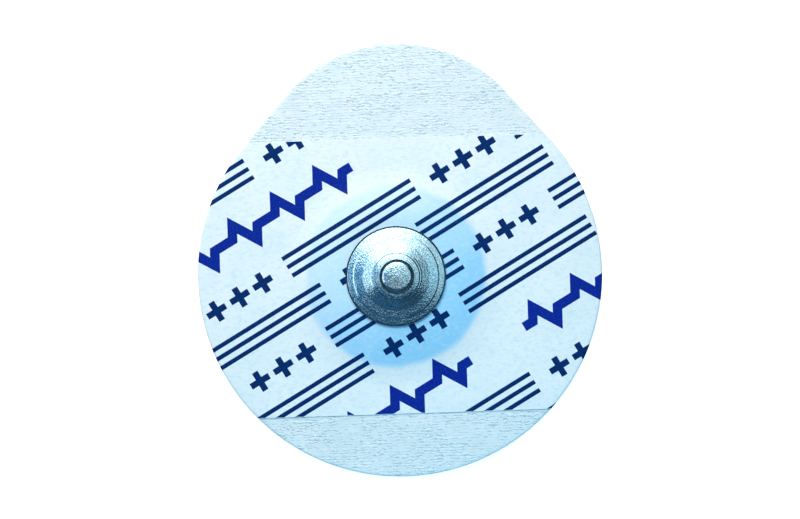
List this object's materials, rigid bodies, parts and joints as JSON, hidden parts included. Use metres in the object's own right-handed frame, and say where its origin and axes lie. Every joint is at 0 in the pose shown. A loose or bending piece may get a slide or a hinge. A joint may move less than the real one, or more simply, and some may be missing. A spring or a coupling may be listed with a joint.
{
  "type": "ecg electrode",
  "caption": "Disposable snap electrode: die-cut creped tape with a pull tab, printed label, gel pad on a clear formed liner, and a drawn metal snap stud.",
  "frame": {"origin": "on the stud's axis, in the flat underside of the liner's cup, the face that the electrode rests on", "axes": "+Z along the stud's axis, away from the skin side; +Y towards the pull tab; +X across, along the label strip"},
  "size_m": [0.042, 0.045, 0.0055],
  "materials": {
    "liner_film": "clear thermoformed film, glossy",
    "hydrogel": "wet translucent gel, blue",
    "coated_eyelet": "moulded, with a thin grey silver chloride coat",
    "adhesive": "clear pressure-sensitive adhesive",
    "creped_tape": "creped nonwoven, matt, very pale blue",
    "label_film": "thin printed film, satin",
    "navy_ink": "printed ink, satin",
    "royal_blue_ink": "printed ink, satin",
    "stud_steel": "drawn and tumbled, bright satin"
  },
  "bodies": {
    "root": {"release_liner": "liner_film", "gel_pad": "hydrogel", "sensor_eyelet": "coated_eyelet", "adhesive_coat": "adhesive", "backing_tape": "creped_tape", "label_strip": "label_film", "print_bars": "navy_ink", "print_crosses": "navy_ink", "print_pulse": "royal_blue_ink", "snap_stud": "stud_steel"}
  },
  "joints": []
}
